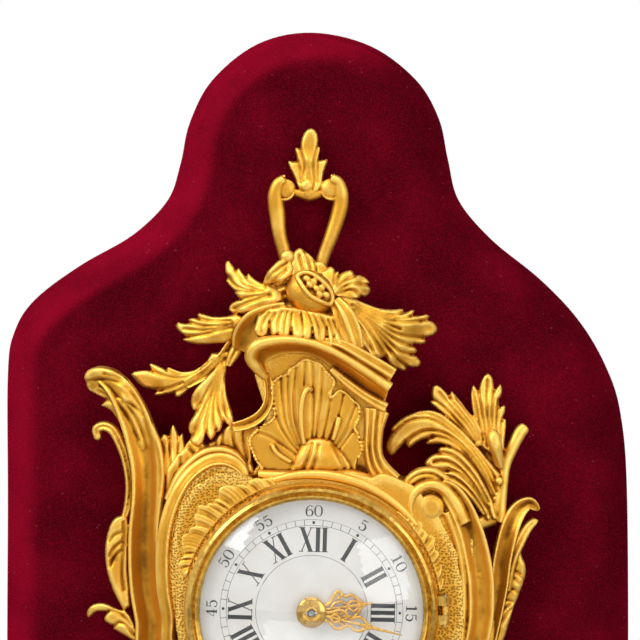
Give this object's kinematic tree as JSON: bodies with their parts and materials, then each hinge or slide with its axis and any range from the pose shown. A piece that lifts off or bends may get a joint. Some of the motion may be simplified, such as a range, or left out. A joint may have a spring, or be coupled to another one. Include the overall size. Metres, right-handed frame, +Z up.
{
  "type": "cartel clock",
  "caption": "Gilt rococo wall clock on a shaped velvet board, with enamel dial, hinged glazed bezel, spring movement and short pendulum.",
  "frame": {"origin": "on the wall plane (back of the board), level with the axis of the hands", "axes": "+X right seen from the front, +Y into the wall, +Z up"},
  "size_m": [0.2807, 0.0717, 0.486],
  "materials": {
    "gilt": "matt and burnished gilding over cast bronze",
    "bezel_brass": "polished",
    "plain_brass": "satin",
    "steel": "polished",
    "wood": "plain",
    "velvet": "pile",
    "enamel": "gloss enamel on copper",
    "glass": "clear domed glass"
  },
  "bodies": {
    "clock": {"backboard": "wood", "velvet_cover": "velvet", "hanger_plate": "steel", "hanger_screws": "steel", "case_screws": "steel", "case_body": "gilt", "waist_cartouche": "gilt", "crest_canopy": "gilt", "crest_leaves": "gilt", "pomegranate": "gilt", "hanging_bow": "gilt", "left_branch": "gilt", "left_scroll": "gilt", "left_c_scroll": "gilt", "right_c_scroll": "gilt", "right_spray": "gilt", "right_outer_leaf": "gilt", "lower_left_leaves": "gilt", "lower_right_scroll": "gilt", "pendant": "gilt", "apron_shell": "gilt", "hinge_leaf": "bezel_brass", "hinge_pin": "steel", "dial_plate": "plain_brass", "dial": "enamel", "dial_feet": "plain_brass", "front_plate": "plain_brass", "back_plate": "plain_brass", "pillars": "plain_brass", "plate_screws": "steel", "dial_screws": "steel", "suspension_cock": "plain_brass"},
    "bezel_door": {"bezel": "bezel_brass", "bezel_glass": "glass", "sight_ring": "bezel_brass"},
    "minute_arbor": {"minute_hand": "gilt", "hand_collet": "gilt", "hand_pin": "steel", "centre_arbor": "steel", "centre_wheel": "plain_brass", "cannon_pinion": "steel"},
    "hour_pipe": {"hour_hand": "gilt", "hour_wheel": "plain_brass"},
    "motion_wheel": {"minute_wheel": "plain_brass"},
    "second_arbor_set": {"second_wheel": "plain_brass", "second_arbor": "steel"},
    "barrel_set": {"barrel": "plain_brass", "barrel_cover": "plain_brass", "mainspring": "steel"},
    "winding_set": {"winding_arbor": "steel", "ratchet_wheel": "steel"},
    "click_lever": {"click": "steel"},
    "third_arbor_set": {"third_wheel": "plain_brass", "third_arbor": "steel"},
    "escape_arbor_set": {"escape_wheel": "plain_brass", "escape_arbor": "steel"},
    "anchor_set": {"anchor": "steel"},
    "pendulum": {"pendulum_rod": "steel"},
    "bob_set": {"pendulum_bob": "plain_brass", "rating_nut": "plain_brass"}
  },
  "joints": [
    {"name": "bezel_hinge", "type": "hinge", "parent": "clock", "child": "bezel_door", "pos_m": [0.0565, -0.0545, 0], "axis": [0, 0, 1], "range_deg": [0, 100]},
    {"name": "minute_turn", "type": "hinge", "parent": "clock", "child": "minute_arbor", "pos_m": [0, -0.0595, 0], "axis": [0, 1, 0], "continuous": true},
    {"name": "hour_turn", "type": "hinge", "parent": "clock", "child": "hour_pipe", "pos_m": [0, -0.0585, 0], "axis": [0, 1, 0], "continuous": true},
    {"name": "motion_turn", "type": "hinge", "parent": "clock", "child": "motion_wheel", "pos_m": [0.012, -0.0505, 0], "axis": [0, 1, 0], "continuous": true},
    {"name": "second_turn", "type": "hinge", "parent": "clock", "child": "second_arbor_set", "pos_m": [-0.02111, -0.0395, -0.00062], "axis": [0, 1, 0], "continuous": true},
    {"name": "barrel_turn", "type": "hinge", "parent": "clock", "child": "barrel_set", "pos_m": [-0.01175, -0.0355, -0.02035], "axis": [0, 1, 0], "continuous": true},
    {"name": "third_turn", "type": "hinge", "parent": "clock", "child": "third_arbor_set", "pos_m": [0.01085, -0.0395, 0.01573], "axis": [0, 1, 0], "continuous": true},
    {"name": "escape_turn", "type": "hinge", "parent": "clock", "child": "escape_arbor_set", "pos_m": [0, -0.0375, 0.028], "axis": [0, 1, 0], "continuous": true},
    {"name": "winding_turn", "type": "hinge", "parent": "clock", "child": "winding_set", "pos_m": [-0.01175, -0.0395, -0.02035], "axis": [0, 1, 0], "continuous": true},
    {"name": "click_lift", "type": "hinge", "parent": "clock", "child": "click_lever", "pos_m": [-0.0219, -0.0495, -0.02508], "axis": [0, -1, 0], "range_deg": [0, 15]},
    {"name": "pendulum_swing", "type": "hinge", "parent": "clock", "child": "pendulum", "pos_m": [0, -0.0235, 0.0405], "axis": [0, 1, 0], "range_deg": [-3, 3]},
    {"name": "anchor_rock", "type": "hinge", "parent": "clock", "child": "anchor_set", "pos_m": [0, -0.0345, 0.0405], "axis": [0, 1, 0], "range_deg": [-3, 3]},
    {"name": "bob_adjust", "type": "slide", "parent": "pendulum", "child": "bob_set", "axis": [0, 0, 1], "range_m": [-0.003, 0.003]}
  ],
  "couplings": [
    {"joint": "hour_turn", "follows": "minute_turn", "ratio": 0.083333},
    {"joint": "motion_turn", "follows": "minute_turn", "ratio": -0.33333},
    {"joint": "second_turn", "follows": "minute_turn", "ratio": -0.14286},
    {"joint": "barrel_turn", "follows": "minute_turn", "ratio": 0.02381},
    {"joint": "third_turn", "follows": "minute_turn", "ratio": -12},
    {"joint": "escape_turn", "follows": "minute_turn", "ratio": 144},
    {"joint": "anchor_rock", "follows": "pendulum_swing", "ratio": 1}
  ]
}
